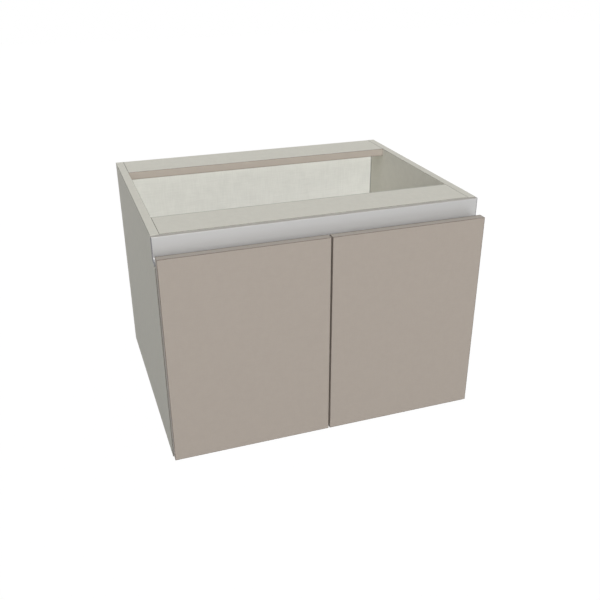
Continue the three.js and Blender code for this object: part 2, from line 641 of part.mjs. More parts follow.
function mountingPlate() {
  const screws = HINGE_PLATE_SETBACK + DOOR_STANDOFF;
  const base = PANEL_FACE_U + PLATE_BASE;
  const wing = PLATE_WING_WIDTH / 2;
  const tongue = CHEEK.from - SEAT;
  const body = join(
    block(PANEL_FACE_U, base, ARM_SHOULDER + PLATE_SETBACK, ARM_LENGTH, -PLATE_BODY_HALF, PLATE_BODY_HALF),
    block(PANEL_FACE_U, base, screws - wing, screws + wing, wing - PLATE_WING, PLATE_WING - wing),
    ...[-1, 1].map((up) => rod('x', [screws, up * (PLATE_WING - wing)], PANEL_FACE_U, base, wing, FLATS.wing)),
    block(
      PANEL_FACE_U + PLATE_BASE / 2, ARM_CROWN - ARM_SHEET - SEAT,
      ARM_SHOULDER + 2 * PLATE_SETBACK, ARM_LENGTH - ARM_TIP, -tongue, tongue,
    ),
  );
  return cut(body, armScrewBore(), ...[-1, 1].map((up) => rod(
    'x', [screws, up * PLATE_SCREW_SPREAD], PANEL_FACE_U - OVERCUT, base + OVERCUT,
    PLATE_SCREW.shank + SEAT, FLATS.screw,
  )));
}

function armScrew() {
  const at = [HINGE_PLATE_SETBACK + DOOR_STANDOFF, 0];
  const { radius, height, shank, reach } = ARM_SCREW;
  return join(
    rod('x', at, ARM_CROWN, ARM_CROWN + height, radius, FLATS.head, radius * PAN_HEAD_CROWN),
    rod('x', at, ARM_CROWN - reach, ARM_CROWN + height / 2, shank, FLATS.screw),
  );
}

// ---------------------------------------------------------------- assembly
for (const [side, sign] of Object.entries(SIDES)) {
  place(`side_panel_${side}`, sidePanel(sign), CARCASS);
  place(`side_panel_edging_${side}`, block(
    Math.min(sign * X_IN, sign * X_OUT), Math.max(sign * X_IN, sign * X_OUT),
    Y_FRONT, Y_FRONT + EDGING, 0, Z_TOP - NOTCH_HEIGHT,
  ), CARCASS_EDGE);
}
place('bottom_panel', cut(
  crossBoard(Y_FRONT + EDGING, Y_REAR, 0, BOARD, DOWEL_ROWS[2]), backGroove(GROOVE.bottom, BOARD + OVERCUT),
), CARCASS);
place('bottom_panel_edging', block(-X_IN, X_IN, Y_FRONT, Y_FRONT + EDGING, 0, BOARD), CARCASS_EDGE);
place('front_rail', crossBoard(FRONT_RAIL.front, FRONT_RAIL.rear, Z_RAIL, Z_TOP, DOWEL_ROWS[0]), CARCASS);
place('rear_rail', cut(
  crossBoard(REAR_RAIL.front + EDGING, REAR_RAIL.rear, Z_RAIL, Z_TOP, DOWEL_ROWS[1]),
  backGroove(Z_RAIL - OVERCUT, GROOVE.top),
), CARCASS);
place('rear_rail_edging', block(-X_IN, X_IN, REAR_RAIL.front, REAR_RAIL.front + EDGING, Z_RAIL, Z_TOP), FRONT);
const BACK_HALF = X_IN + GROOVE_DEPTH - SEAT;
place('back_panel', block(
  -BACK_HALF, BACK_HALF, Y_BACK_FRONT, Y_BACK_REAR, GROOVE.bottom + SEAT, GROOVE.top - SEAT,
), BACK);

place('grip_channel', gripChannel(), ALUMINIUM);
for (const [side, sign] of Object.entries(SIDES)) {
  place(`grip_channel_end_cap_${side}`, endCap(sign), CAP_PLASTIC);
  place(`channel_bracket_${side}`, bracket(sign), NICKEL);
  BRACKET_SCREWS.forEach((at, i) => {
    const screw = panelScrew(sign, at, X_IN - BRACKET_SHEET, BRACKET_SCREW);
    place(`channel_bracket_screw_${side}_${i + 1}`, screw, STEEL);
  });
}

for (const [side, sign] of Object.entries(SIDES)) {
  place(`door_${side}`, doorCore(sign), FRONT);
  place(`door_edging_${side}`, doorEdging(sign), FRONT);
  const bufferX = sign * (X_DOOR_IN + BUFFER_INSET);
  const bufferHeights = {
    lower: (BOARD + Z_DOOR_BOTTOM) / 2,
    upper: Z_TOP - (CHANNEL.lipTop + CHANNEL.under - CHANNEL_LIP_RADIUS) / 2,
  };
  for (const [level, z] of Object.entries(bufferHeights)) {
    place(`door_buffer_${side}_${level}`, rod(
      'y', [bufferX, z], Y_DOOR_BACK, Y_DOOR_BACK + DOOR_STANDOFF - SEAT,
      BUFFER_RADIUS, FLATS.wing, BUFFER_RADIUS * BUFFER_TOP,
    ), CLEAR_RUBBER);
  }
  for (const [level, z] of Object.entries(HINGE_HEIGHTS)) {
    const hinge = new THREE.Group();
    hinge.position.set(sign * X_DOOR_OUT, Y_DOOR_BACK, z);
    cabinet.add(hinge);
    const hand = (geometry) => (sign < 0 ? geometry : mirrorX(geometry));
    const pieces = {
      cup: [hingeCup(), NICKEL],
      outer_link: [outerLink(), STEEL],
      inner_link: [innerLink(), STEEL],
      arm: [hingeArm(), NICKEL],
      plate: [mountingPlate(), NICKEL],
      arm_screw: [armScrew(), STEEL],
    };
    for (const [piece, [geometry, material]] of Object.entries(pieces)) {
      place(`hinge_${piece}_${side}_${level}`, hand(geometry), material, hinge);
    }
    [-1, 1].forEach((up, i) => {
      const at = [Y_PLATE_SCREWS, z + up * PLATE_SCREW_SPREAD];
      const screw = panelScrew(sign, at, X_IN - PLATE_BASE, PLATE_SCREW);
      place(`hinge_plate_screw_${side}_${level}_${i + 1}`, screw, STEEL);
    });
  }
}

export default cabinet;
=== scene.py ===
# Sink base cabinet: 700 mm wide, handleless, two doors under an aluminium grip channel, open at the top.
# The frame gives every piece its place, in metres; +Z is up and the doors face -Y.
import collections
import math

import bmesh
import bpy
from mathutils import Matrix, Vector


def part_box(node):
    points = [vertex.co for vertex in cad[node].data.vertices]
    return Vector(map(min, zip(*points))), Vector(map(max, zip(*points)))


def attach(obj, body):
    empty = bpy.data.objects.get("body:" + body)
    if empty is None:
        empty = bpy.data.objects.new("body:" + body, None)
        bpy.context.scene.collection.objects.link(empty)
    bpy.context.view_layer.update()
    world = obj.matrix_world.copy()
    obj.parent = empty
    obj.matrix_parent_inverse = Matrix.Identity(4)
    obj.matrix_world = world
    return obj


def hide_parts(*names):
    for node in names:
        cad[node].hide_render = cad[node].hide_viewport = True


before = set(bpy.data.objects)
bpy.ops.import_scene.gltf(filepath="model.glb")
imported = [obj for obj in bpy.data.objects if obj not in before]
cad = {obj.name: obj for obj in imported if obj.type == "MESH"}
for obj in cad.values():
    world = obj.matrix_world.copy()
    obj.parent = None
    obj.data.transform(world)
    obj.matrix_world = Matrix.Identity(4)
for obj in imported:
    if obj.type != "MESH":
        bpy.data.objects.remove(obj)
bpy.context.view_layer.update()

# ------------------------------------------------------------------ carcass boards
# Two sides, a bottom and two flat rails of 18 mm chipboard, faced with light grey linen-textured
# melamine. They are cut to size, bored and grooved, and the sharp arris of every board is eased.
BOARD_ARRIS = 0.0006
LONG_EDGE = 0.05  # shorter edges belong to bores and grooves, and stay sharp
SHARP_EDGE = math.radians(30)
FLAT_ENOUGH = math.radians(0.5)  # triangles that lie as flat as this make one face
SAME_CORNER = 2e-6
CARCASS_GREY = (0.597, 0.585, 0.525, 1)
FILM_EDGE_GREY = (0.20, 0.195, 0.165, 1)
CARCASS_WEAVE = 0.035  # how far the printed threads are lighter and darker than the grey
FILM_EDGE_WEAVE = 0.12
FILM_EDGE_THREAD = 0.0006
THREAD_DETAIL = 1.5
THREAD_STRETCH = 0.07  # a thread's shade changes this much more slowly along it than across it
THREAD_SUM = (1.1, 1.9)  # the threads of three directions add up to values between these
LINEN_RELIEF = 0.25
LINEN_DEPTH = 0.00005
LINEN_GLOSS = 0.1
CARCASS_PAINTED_FALLOFF = 0.90  # painted shade: the boards' colour at the floor, for light that falls off downwards
CARCASS_FALLOFF_TOP = 0.45
# Painted shade along the front rail's rear edge
RAIL_EDGE_PAINTED_SHADE = 0.68
RAIL_SHADE_FROM = 0.00625  # in front of the rail's rear edge
RAIL_SHADE_TO = 0.00075


def eased_copy(node, width, materials, least=0.0, segments=2):
    """A CAD piece merged into one skin, with its sharp edges rounded to a width.

    A second material, where there is one, goes on the rounded edges.
    """
    bpy.ops.object.select_all(action="DESELECT")
    piece = bpy.data.objects.new(node + "_finished", cad[node].data.copy())
    bpy.context.scene.collection.objects.link(piece)
    piece.data.materials.clear()
    for material in materials:
        piece.data.materials.append(material)
    piece.select_set(True)
    bpy.context.view_layer.objects.active = piece
    bpy.ops.object.mode_set(mode="EDIT")
    bpy.ops.mesh.select_all(action="SELECT")
    bpy.ops.mesh.remove_doubles(threshold=SAME_CORNER)
    bpy.ops.mesh.dissolve_limited(angle_limit=FLAT_ENOUGH)
    bpy.ops.mesh.select_all(action="DESELECT")
    shape = bmesh.from_edit_mesh(piece.data)
    for edge in shape.edges:
        if len(edge.link_faces) == 2 and edge.calc_length() > least:
            edge.select = edge.calc_face_angle() > SHARP_EDGE
    bmesh.update_edit_mesh(piece.data)
    bpy.ops.mesh.bevel(
        offset=width, segments=segments, affect="EDGES", clamp_overlap=True, material=len(materials) - 1
    )
    bpy.ops.object.mode_set(mode="OBJECT")
    return piece


def new_finish(name):
    """A material made of nodes, with its tree, its shader and the place on the piece it covers."""
    material = bpy.data.materials.new(name)
    material.use_nodes = True
    tree = material.node_tree
    place = tree.nodes.new("ShaderNodeTexCoord")
    return material, tree, tree.nodes["Principled BSDF"], place.outputs["Object"]


def grain(tree, place, scales, detail):
    """An uneven pattern, as fine along each axis as its scale there."""
    stretch = tree.nodes.new("ShaderNodeMapping")
    stretch.inputs["Scale"].default_value = scales
    tree.links.new(place, stretch.inputs["Vector"])
    noise = tree.nodes.new("ShaderNodeTexNoise")
    noise.inputs["Scale"].default_value = 1
    noise.inputs["Detail"].default_value = detail
    tree.links.new(stretch.outputs["Vector"], noise.inputs["Vector"])
    return noise.outputs["Fac"]


def spread(tree, value, middle, reach, value_range=(0, 1)):
    """A pattern's values laid out evenly on both sides of a middle."""
    span = tree.nodes.new("ShaderNodeMapRange")
    span.inputs["From Min"].default_value, span.inputs["From Max"].default_value = value_range
    span.inputs["To Min"].default_value = middle - reach
    span.inputs["To Max"].default_value = middle + reach
    tree.links.new(value, span.inputs["Value"])
    return span.outputs["Result"]


def tint(tree, shader, colour, amount):
    """Colours a finish, lighter and darker by an amount."""
    tinted = tree.nodes.new("ShaderNodeVectorMath")
    tinted.operation = "SCALE"
    tinted.inputs[0].default_value = colour[:3]
    tree.links.new(amount, tinted.inputs["Scale"])
    tree.links.new(tinted.outputs["Vector"], shader.inputs["Base Color"])


def emboss(tree, shader, pattern, strength, depth):
    """Gives a finish the relief of a pattern, to a real depth."""
    bump = tree.nodes.new("ShaderNodeBump")
    bump.inputs["Strength"].default_value = strength
    bump.inputs["Distance"].default_value = depth
    tree.links.new(pattern, bump.inputs["Height"])
    tree.links.new(bump.outputs["Normal"], shader.inputs["Normal"])


def linen_melamine(name, colour, weave, thread=0.0011, roughness=0.6):
    """Printed melamine: a faint cross-hatch of long threads, pressed a little into the film."""
    material, tree, shader, place = new_finish(name)
    threads = []
    for across in "XYZ":
        scales = [(1 if axis == across else THREAD_STRETCH) / thread for axis in "XYZ"]
        threads.append(grain(tree, place, scales, THREAD_DETAIL))
    linen = threads[0]
    for more in threads[1:]:
        crossed = tree.nodes.new("ShaderNodeMath")
        crossed.operation = "ADD"
        tree.links.new(linen, crossed.inputs[0])
        tree.links.new(more, crossed.inputs[1])
        linen = crossed.outputs[0]
    tint(tree, shader, colour, spread(tree, linen, 1, weave, THREAD_SUM))
    emboss(tree, shader, linen, LINEN_RELIEF, LINEN_DEPTH)
    shader.inputs["Roughness"].default_value = roughness
    shader.inputs["Specular IOR Level"].default_value = LINEN_GLOSS
    return material


def shaded_along(material, axis, start, end, amount, mirrored=False):
    """Paints shade on a finish: darkens it from one place to another along an axis, and the same mirrored
    if asked.
    """
    tree = material.node_tree
    place = tree.nodes.new("ShaderNodeTexCoord")
    axes = tree.nodes.new("ShaderNodeSeparateXYZ")
    tree.links.new(place.outputs["Object"], axes.inputs["Vector"])
    where = axes.outputs[axis]
    if mirrored:
        unsigned = tree.nodes.new("ShaderNodeMath")
        unsigned.operation = "ABSOLUTE"
        tree.links.new(where, unsigned.inputs[0])
        where = unsigned.outputs[0]
    shade_ramp = tree.nodes.new("ShaderNodeMapRange")
    shade_ramp.inputs["From Min"].default_value = start
    shade_ramp.inputs["From Max"].default_value = end
    shade_ramp.inputs["To Min"].default_value = 1
    shade_ramp.inputs["To Max"].default_value = amount
    tree.links.new(where, shade_ramp.inputs["Value"])
    colour_in = tree.nodes["Principled BSDF"].inputs["Base Color"]
    darkened = tree.nodes.new("ShaderNodeVectorMath")
    darkened.operation = "SCALE"
    tree.links.new(colour_in.links[0].from_socket, darkened.inputs[0])
    tree.links.new(shade_ramp.outputs["Result"], darkened.inputs["Scale"])
    tree.links.new(darkened.outputs["Vector"], colour_in)


carcass_board = linen_melamine("carcass_board", CARCASS_GREY, CARCASS_WEAVE)
# Painted shade: the carcass boards darken towards the floor, as the light falls off
shaded_along(carcass_board, "Z", CARCASS_FALLOFF_TOP, 0, CARCASS_PAINTED_FALLOFF)
# Painted shade: a dark line painted along the front rail's rear edge, where the back panel behind it lies
# in shade
rail_board = linen_melamine("rail_board", CARCASS_GREY, CARCASS_WEAVE)
rail_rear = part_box("front_rail")[1][1]
shaded_along(rail_board, "Y", rail_rear - RAIL_SHADE_FROM, rail_rear - RAIL_SHADE_TO, RAIL_EDGE_PAINTED_SHADE)
film_edge = linen_melamine("film_edge", FILM_EDGE_GREY, FILM_EDGE_WEAVE, thread=FILM_EDGE_THREAD)
for node in ("bottom_panel", "side_panel_left", "side_panel_right", "front_rail", "rear_rail"):
    film = rail_board if node == "front_rail" else carcass_board
    board = eased_copy(node, BOARD_ARRIS, (film, film_edge), LONG_EDGE)
    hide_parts(node)
    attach(board, "carcass")

# ------------------------------------------------------------------ back panel
# 8 mm board, slid into a groove that runs round all four sides. Its grey is a shade lighter than the
# carcass, partly its own print and partly painted light for its shaded place inside.
# Its linen print shows most, because the light falls straight on it.
# Lighter partly as painted light, which lifts the back panel inside the cabinet
BACK_GREY = (0.675, 0.68, 0.645, 1)
BACK_WEAVE = 0.048
BACK_THREAD = 0.0022
# Painted shade for the gap where the back panel enters the sides
GROOVE_PAINTED_SHADE = 0.3
GROOVE_SHADE_FROM = 0.0022  # from the side panel's face
GROOVE_SHADE_TO = 0.0012
back_board = linen_melamine("back_board", BACK_GREY, BACK_WEAVE, thread=BACK_THREAD)
# Painted shade: a dark line painted where the panel enters the sides' grooves, for the shadow in the gap
side_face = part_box("side_panel_right")[0][0]
shaded_along(back_board, "X", side_face - GROOVE_SHADE_FROM, side_face - GROOVE_SHADE_TO, GROOVE_PAINTED_SHADE, mirrored=True)
cad["back_panel"].data.materials.clear()
cad["back_panel"].data.materials.append(back_board)

# ------------------------------------------------------------------ edging of the carcass
# 1 mm plastic edging, glued on the boards' front edges and scraped flush: light grey on the bottom, and the
# doors' taupe along the front of the rear rail. On the sides it is dark grey, a painted shadow of the doors
# beside it.
EDGING_ARRIS = 0.0004
EDGING_GREY = (0.52, 0.51, 0.45, 1)
SIDE_EDGE_SHADOW_GREY = (0.19, 0.178, 0.162, 1)
PALE_TAUPE = (0.383, 0.342, 0.298, 1)
TAUPE_ARRIS = (0.17, 0.14, 0.12, 1)
PLASTIC_SHADES = 0.04
PLASTIC_DETAIL = 2
PLASTIC_RELIEF = 0.3
PLASTIC_GLOSS = 0.15
# Painted shade along the foot and at the ends of the rear rail's strip
STRIP_FOOT_PAINTED_SHADE = 0.72
FOOT_SHADE_FROM = 0.003  # above the rail's underside
FOOT_SHADE_TO = 0.0005
STRIP_END_PAINTED_SHADE = 0.6
END_FROM = 0.0022  # from the side panel's face
END_TO = 0.0002


def plain_plastic(name, colour, roughness=0.45, pebble=0.0008, depth=0.00003):
    """Moulded or rolled plastic: an even colour with a fine pebble grain."""
    material, tree, shader, place = new_finish(name)
    pebbles = grain(tree, place, [1 / pebble] * 3, PLASTIC_DETAIL)
    tint(tree, shader, colour, spread(tree, pebbles, 1, PLASTIC_SHADES))
    emboss(tree, shader, pebbles, PLASTIC_RELIEF, depth)
    shader.inputs["Roughness"].default_value = roughness
    shader.inputs["Specular IOR Level"].default_value = PLASTIC_GLOSS
    return material


grey_edging = plain_plastic("grey_edging", EDGING_GREY)
# The sides' edging takes a dark grey that paints in the doors' shadow
front_edging = plain_plastic("front_edging", SIDE_EDGE_SHADOW_GREY)
grey_glue_line = plain_plastic("grey_glue_line", FILM_EDGE_GREY)
taupe_glue_line = plain_plastic("taupe_glue_line", TAUPE_ARRIS)
# Painted shade: the rail's strip is darkened along its foot, in the shade under the rail, and at its ends,
# in the corners against the sides
rail_edging = plain_plastic("rail_edging", PALE_TAUPE)
rail_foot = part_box("rear_rail_edging")[0][2]
shaded_along(rail_edging, "Z", rail_foot + FOOT_SHADE_FROM, rail_foot + FOOT_SHADE_TO, STRIP_FOOT_PAINTED_SHADE)
shaded_along(rail_edging, "X", side_face - END_FROM, side_face - END_TO, STRIP_END_PAINTED_SHADE, mirrored=True)
for node, materials, slot in (
    ("side_panel_edging_left", (front_edging, grey_glue_line), "carcass_edging"),
    ("side_panel_edging_right", (front_edging, grey_glue_line), "carcass_edging"),
    ("bottom_panel_edging", (grey_edging, grey_glue_line), "carcass_edging"),
    ("rear_rail_edging", (rail_edging, taupe_glue_line), "front_edging"),
):
    strip = eased_copy(node, EDGING_ARRIS, materials, LONG_EDGE, segments=3)
    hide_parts(node)
    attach(strip, "carcass")

# ------------------------------------------------------------------ grip channel
# Aluminium extrusion across the front, behind the doors' top edge: an upright face that sweeps
# forward into a gutter for the fingers and ends in a lip. Satin anodised, with faint die lines.
WALL = 0.0016
FACE_SETBACK = 0.018  # from the lip's front to the upright face
SWEEP = 0.014  # radius of the turn from the face into the gutter
CURL = 0.0034  # radius of the turn from the gutter into the lip
LIP_RISE = 0.010
RIB_DROP = 0.026
LEG = 0.006
FACE_ARRIS = 0.0004
LIP_ARRIS = 0.0006
ALUMINIUM = (0.482, 0.480, 0.476, 1)
ANODISED_ROUGHNESS = 0.38
ANODISED_METAL = 0.38  # the oxide film hides the metal's own shine
# Painted shade in the channel's sweep
SWEEP_PAINTED_SHADE = 0.62
SWEEP_SHADE_FROM = 0.001  # above the sweep's upper end
SWEEP_SHADE_TO = -0.0031
METAL_SHADES = 0.03
METAL_STREAKS = 0.06
METAL_STRETCH = 0.01
METAL_DETAIL = 2
METAL_RELIEF = 0.25
METAL_DEPTH = 0.00002
SAME_PLACE = 1e-5
UP, DOWN = Vector((0, 0, 1)), Vector((0, 0, -1))
REAR, FRONT = Vector((0, 1, 0)), Vector((0, -1, 0))
SQUARE_ON = 0.9  # how far a face's normal runs along a direction that it faces


def drawn_metal(name, colour, roughness, along, line=0.0005, metallic=1.0):
    """Metal with fine lines along one axis, as left by a die or a roll."""
    material, tree, shader, place = new_finish(name)
    scales = [(METAL_STRETCH if axis == along else 1) / line for axis in "XYZ"]
    lines = grain(tree, place, scales, METAL_DETAIL)
    streaks = spread(tree, lines, roughness, METAL_STREAKS)
    tree.links.new(streaks, shader.inputs["Roughness"])
    tint(tree, shader, colour, spread(tree, lines, 1, METAL_SHADES))
    emboss(tree, shader, lines, METAL_RELIEF, METAL_DEPTH)
    shader.inputs["Metallic"].default_value = metallic
    return material


def bar(name, low, high):
    """A squared bar between two corners, to start a piece from."""
    bpy.ops.object.select_all(action="DESELECT")
    bpy.ops.mesh.primitive_cube_add(size=1, location=[(a + b) / 2 for a, b in zip(low, high)])
    piece = bpy.context.object
    piece.name = name
    piece.scale = [b - a for a, b in zip(low, high)]
    bpy.ops.object.transform_apply(location=True, rotation=True, scale=True)
    return piece


def near(a, b):
    """Whether two places are the same to a hundredth of a millimetre."""
    return abs(a - b) < SAME_PLACE


def pick_faces(piece, facing, wanted=lambda at: True):
    """In edit mode, selects the faces that face a direction and whose centre passes a test."""
    bpy.ops.mesh.select_mode(type="FACE")
    bpy.ops.mesh.select_all(action="DESELECT")
    shape = bmesh.from_edit_mesh(piece.data)
    for face in shape.faces:
        face.select_set(face.normal.dot(facing) > SQUARE_ON and wanted(face.calc_center_median()))
    bmesh.update_edit_mesh(piece.data)


def pick_edges(piece, wanted):
    """In edit mode, selects the edges whose two ends both pass a test."""
    bpy.ops.mesh.select_mode(type="EDGE")
    bpy.ops.mesh.select_all(action="DESELECT")
    shape = bmesh.from_edit_mesh(piece.data)
    for edge in shape.edges:
        edge.select_set(all(wanted(corner.co) for corner in edge.verts))
    bmesh.update_edit_mesh(piece.data)


def round_over(width, segments):
    """Rounds the edges that are picked."""
    bpy.ops.mesh.bevel(offset=width, segments=segments, affect="EDGES")


def pull(x, y, z):
    """Extrudes what is picked by a step."""
    bpy.ops.mesh.extrude_region_move(TRANSFORM_OT_translate={"value": (x, y, z)})


def quarter_turn(y, z, steps):
    """Sweeps what is picked a quarter turn round a line along the channel."""
    bpy.ops.mesh.spin(steps=steps, angle=math.radians(90), center=(0, y, z), axis=(1, 0, 0))


def joined(first, others, smooth=35):
    """Makes several parts one piece, with each part's own material."""
    bpy.ops.object.select_all(action="DESELECT")
    for part in [first] + others:
        part.select_set(True)
    bpy.context.view_layer.objects.active = first
    bpy.ops.object.join()
    bpy.ops.object.shade_smooth_by_angle(angle=math.radians(smooth))


channel_low, channel_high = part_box("grip_channel")
channel_left, channel_front, channel_under = channel_low
channel_right, channel_rear, channel_top = channel_high
face_front = channel_front + FACE_SETBACK
sweep_y = face_front - SWEEP
sweep_z = channel_under + WALL + SWEEP
curl_y = channel_front + CURL
curl_z = channel_under + CURL
lip_top = channel_under + LIP_RISE
rib_top = channel_top - RIB_DROP
leg_y = channel_rear - WALL / 2
anodised = drawn_metal("satin_anodised", ALUMINIUM, ANODISED_ROUGHNESS, along="X", metallic=ANODISED_METAL)
# Painted shade: darker from where the face bends into the sweep, down into the gutter behind the doors
shaded_along(anodised, "Z", sweep_z + SWEEP_SHADE_FROM, sweep_z + SWEEP_SHADE_TO, SWEEP_PAINTED_SHADE)

# The upright face, drawn down in the bands that the top flange and the upper rib leave from
channel = bar(
    "channel_profile",
    (channel_left, face_front, channel_top - WALL),
    (channel_right, face_front + WALL, channel_top),
)
bpy.ops.object.mode_set(mode="EDIT")
for level in (rib_top, rib_top - WALL, sweep_z):
    pick_faces(channel, DOWN)
    lowest = min(corner.co.z for corner in bmesh.from_edit_mesh(channel.data).verts)
    pull(0, 0, level - lowest)
# The sweep forward, the floor of the gutter, the curl and the upstand of the lip
pick_faces(channel, DOWN, lambda at: near(at.z, sweep_z))
quarter_turn(sweep_y, sweep_z, steps=24)
pick_faces(channel, FRONT, lambda at: near(at.y, sweep_y))
pull(0, curl_y - sweep_y, 0)
pick_faces(channel, FRONT, lambda at: near(at.y, curl_y))
quarter_turn(curl_y, curl_z, steps=10)
pick_faces(channel, UP, lambda at: near(at.z, curl_z))
pull(0, 0, lip_top - curl_z)
# The top flange and the upper rib, each with a leg that rests against the recess
for band_top, rise in ((channel_top, 0), (rib_top, LEG / 2)):
    pick_faces(channel, REAR, lambda at: near(at.z, band_top - WALL / 2))
    pull(0, channel_rear - face_front - 2 * WALL, 0)
    pull(0, WALL, 0)
    if rise:
        pick_faces(channel, UP, lambda at: near(at.z, band_top) and near(at.y, leg_y))
        pull(0, 0, rise)
    pick_faces(channel, DOWN, lambda at: near(at.z, band_top - WALL) and near(at.y, leg_y))
    pull(0, 0, rise + WALL - LEG)
# Rounded arrises on the face's top edge and both edges of the lip
pick_edges(channel, lambda at: near(at.y, face_front) and near(at.z, channel_top))
round_over(FACE_ARRIS, segments=4)
pick_edges(channel, lambda at: at.y < channel_front + WALL + SAME_PLACE and near(at.z, lip_top))
round_over(LIP_ARRIS, segments=4)
bpy.ops.object.mode_set(mode="OBJECT")
# The lower rib meets the back of the sweep
lower_rib = bar(
    "lower_rib",
    (channel_left, face_front + WALL / 2, sweep_z - 2 * WALL),
    (channel_right, channel_rear - WALL, sweep_z - WALL),
)
bpy.ops.object.mode_set(mode="EDIT")
pick_faces(lower_rib, REAR)
pull(0, WALL, 0)
pick_faces(lower_rib, DOWN, lambda at: at.y > channel_rear - WALL)
pull(0, 0, WALL - LEG)
bpy.ops.object.mode_set(mode="OBJECT")
joined(channel, [lower_rib], smooth=25)
channel.data.materials.append(anodised)
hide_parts("grip_channel")
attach(channel, "carcass")

# ------------------------------------------------------------------ grey flange strip
# A thin grey strip laid along the channel's top flange, just under the worktop, from one side of the
# cabinet to the other, so that the flange shows grey rather than bright metal. Its ends are square.
STRIP = 0.0008
STRIP_ARRIS = 0.0002
STRIP_SETBACK = 0.0001
STRIP_GREY = (0.402, 0.386, 0.358, 1)
grey_strip_finish = plain_plastic("grey_strip_finish", STRIP_GREY, roughness=0.8, pebble=0.0006, depth=0.00006)
cabinet_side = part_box("side_panel_right")[1][0]
strip = bar(
    "grey_flange_strip",
    (-cabinet_side, face_front + STRIP_SETBACK, channel_top),
    (cabinet_side, channel_rear, channel_top + STRIP),
)
strip.data.materials.append(grey_strip_finish)
bpy.ops.object.mode_set(mode="EDIT")
pick_edges(strip, lambda at: near(at.z, channel_top + STRIP))
round_over(STRIP_ARRIS, segments=3)
bpy.ops.object.mode_set(mode="OBJECT")
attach(strip, "carcass")

# ------------------------------------------------------------------ channel end caps
# Grey moulded caps that close the channel's hollow back at both sides of the cabinet. A peg on the
# inner face plugs them in, and their outer face is flush with the side panel.
SIDES = {"left": -1, "right": 1}
CAP_ARRIS = 0.0003
CAP_GREY = (0.21, 0.209, 0.218, 1)
cap_plastic = plain_plastic("cap_plastic", CAP_GREY, roughness=0.5)
for side in SIDES:
    cap = eased_copy(f"grip_channel_end_cap_{side}", CAP_ARRIS, (cap_plastic,), segments=3)
    bpy.ops.object.shade_smooth_by_angle(angle=math.radians(30))
    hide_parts(f"grip_channel_end_cap_{side}")
    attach(cap, "carcass")

# ------------------------------------------------------------------ channel brackets
# Bent steel angles screwed to the inside of each panel; their tongues reach behind the channel's
# face and hold it. Pressed from 2 mm sheet and nickel plated.
BRACKET_ARRIS = 0.0004
BRACKET_EDGE = 0.0015  # shorter edges belong to the screw holes
NICKEL = (0.50, 0.505, 0.515, 1)
nickel = drawn_metal("nickel_plate", NICKEL, roughness=0.3, along="Z", line=0.0003)
for side in SIDES:
    bracket = eased_copy(f"channel_bracket_{side}", BRACKET_ARRIS, (nickel,), BRACKET_EDGE)
    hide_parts(f"channel_bracket_{side}")
    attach(bracket, "carcass")

# ------------------------------------------------------------------ doors
# Plain slab doors of 19 mm board in warm taupe, matt, with 35 mm bores for the hinge cups. The
# edging is one 1 mm lipping round all four edges, with its outer corners rounded by hand.
SLAB_ARRIS = 0.0002
LIPPING_ARRIS = 0.0006
LIPPING_EDGE = 0.005
TAUPE = (0.379, 0.334, 0.293, 1)
LIPPING_TAUPE = (0.325, 0.292, 0.256, 1)
DOOR_WEAVE = 0.02
DOOR_THREAD = 0.0009
DOOR_PAINTED_FALLOFF = 0.95  # painted shade: the fronts' colour at the floor, for light that falls off downwards
DOOR_FALLOFF_TOP = 0.46
# Painted shade along the back of the door lippings
LIPPING_PAINTED_SHADE = 0.42
LIPPING_SHADE_FROM = 0.00495  # in front of the door's back
LIPPING_SHADE_TO = 0.00075
front_board = linen_melamine("front_board", TAUPE, DOOR_WEAVE, thread=DOOR_THREAD, roughness=0.55)
# Painted shade: the door fronts darken towards the floor, as the light falls off
shaded_along(front_board, "Z", DOOR_FALLOFF_TOP, 0, DOOR_PAINTED_FALLOFF)
# Painted shade: the lippings are darkened along the back, a painted shadow line in the gaps round the doors
door_edge, door_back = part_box("door_edging_right")[1][:2]
taupe_edging = plain_plastic("taupe_edging", LIPPING_TAUPE)
shaded_along(taupe_edging, "Y", door_back - LIPPING_SHADE_FROM, door_back - LIPPING_SHADE_TO, LIPPING_PAINTED_SHADE)
for side in SIDES:
    slab = eased_copy(f"door_{side}", SLAB_ARRIS, (front_board,), LONG_EDGE, segments=1)
    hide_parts(f"door_{side}")
    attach(slab, f"{side}_door")
    lipping_finish = (taupe_edging, taupe_glue_line)
    lipping = eased_copy(f"door_edging_{side}", LIPPING_ARRIS, lipping_finish, LIPPING_EDGE, segments=3)
    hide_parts(f"door_edging_{side}")
    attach(lipping, f"{side}_door")

# ------------------------------------------------------------------ door buffers
# Clear self-adhesive domes on the back of each door, near its free edge, that meet the channel's lip
# above and the bottom panel below. Moulded in soft plastic.
LEVELS = ("lower", "upper")
BUFFER_RADIUS = 0.004
BUFFER_DOME = 0.8  # how much of its height is rounded
CLEAR = (0.72, 0.72, 0.70, 1)


def round_bar(name, low, high, radius, sides=32):
    """A turned bar between two points on one axis, to start a piece from."""
    bpy.ops.object.select_all(action="DESELECT")
    along = Vector(high) - Vector(low)
    bpy.ops.mesh.primitive_cylinder_add(
        vertices=sides,
        radius=radius,
        depth=along.length,
        location=(Vector(low) + Vector(high)) / 2,
        rotation=along.to_track_quat("Z", "Y").to_euler(),
    )
    piece = bpy.context.object
    piece.name = name
    bpy.ops.object.transform_apply(location=True, rotation=True, scale=True)
    return piece


